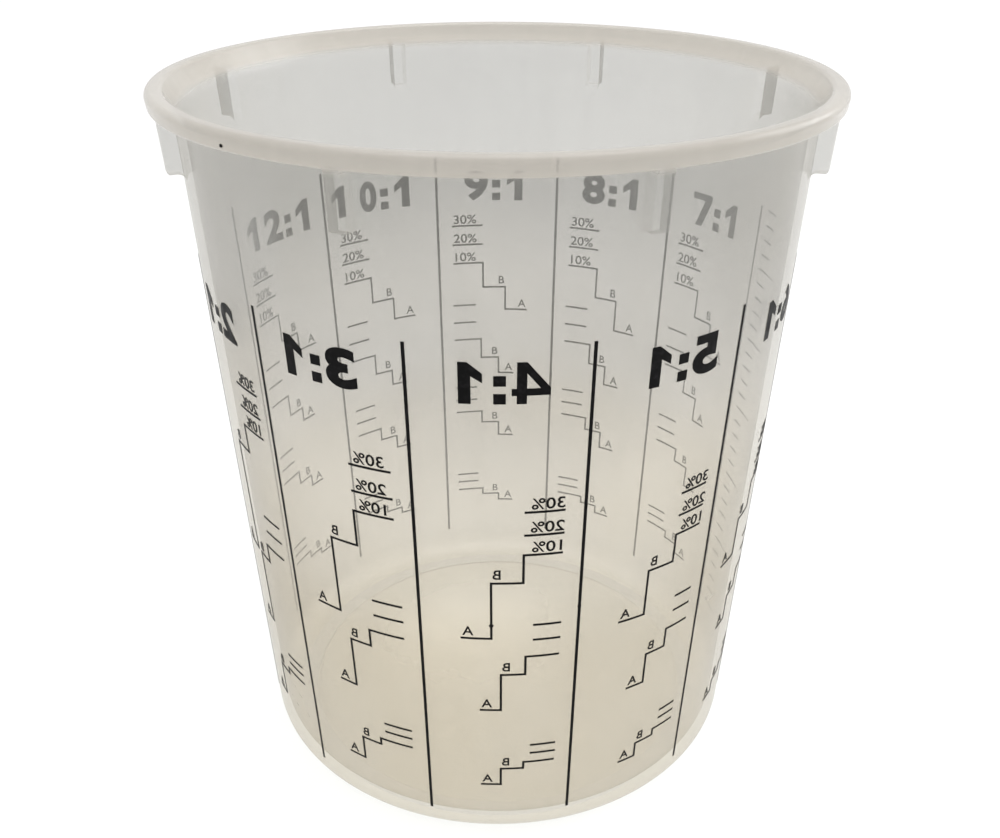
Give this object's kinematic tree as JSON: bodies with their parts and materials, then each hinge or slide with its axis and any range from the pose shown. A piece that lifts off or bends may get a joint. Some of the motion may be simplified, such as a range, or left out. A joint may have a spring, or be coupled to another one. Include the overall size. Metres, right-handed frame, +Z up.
{
  "type": "resin mixing cup",
  "caption": "tapered translucent plastic mixing cup with a flared rim, stacking ribs under the rim and mixing-ratio steps printed round the wall",
  "frame": {"origin": "centre of the foot ring, on the surface that the cup stands on", "axes": "+Z up along the cup's axis, -Y towards the 4:1 panel, +X to the right of it"},
  "size_m": [0.11, 0.11, 0.1223],
  "materials": {
    "polypropylene": "translucent natural, satin",
    "black_ink": "printed, satin"
  },
  "bodies": {
    "root": {"cup_body": "polypropylene", "divider_01": "black_ink", "divider_02": "black_ink", "divider_03": "black_ink", "divider_04": "black_ink", "divider_05": "black_ink", "divider_06": "black_ink", "divider_07": "black_ink", "divider_08": "black_ink", "divider_09": "black_ink", "divider_10": "black_ink", "divider_11": "black_ink", "divider_12": "black_ink", "steps_10to1_set1": "black_ink", "steps_10to1_set2": "black_ink", "steps_10to1_set3": "black_ink", "steps_10to1_set4": "black_ink", "steps_12to1_set1": "black_ink", "steps_12to1_set2": "black_ink", "steps_12to1_set3": "black_ink", "steps_12to1_set4": "black_ink", "steps_2to1_set1": "black_ink", "steps_2to1_set2": "black_ink", "steps_2to1_set3": "black_ink", "steps_3to1_set1": "black_ink", "steps_3to1_set2": "black_ink", "steps_3to1_set3": "black_ink", "steps_4to1_set1": "black_ink", "steps_4to1_set2": "black_ink", "steps_4to1_set3": "black_ink", "steps_5to1_set1": "black_ink", "steps_5to1_set2": "black_ink", "steps_5to1_set3": "black_ink", "steps_6to1_set1": "black_ink", "steps_6to1_set2": "black_ink", "steps_6to1_set3": "black_ink", "steps_7to1_set1": "black_ink", "steps_7to1_set2": "black_ink", "steps_7to1_set3": "black_ink", "steps_7to1_set4": "black_ink", "steps_8to1_set1": "black_ink", "steps_8to1_set2": "black_ink", "steps_8to1_set3": "black_ink", "steps_8to1_set4": "black_ink", "steps_9to1_set1": "black_ink", "steps_9to1_set2": "black_ink", "steps_9to1_set3": "black_ink", "steps_9to1_set4": "black_ink"}
  },
  "joints": []
}
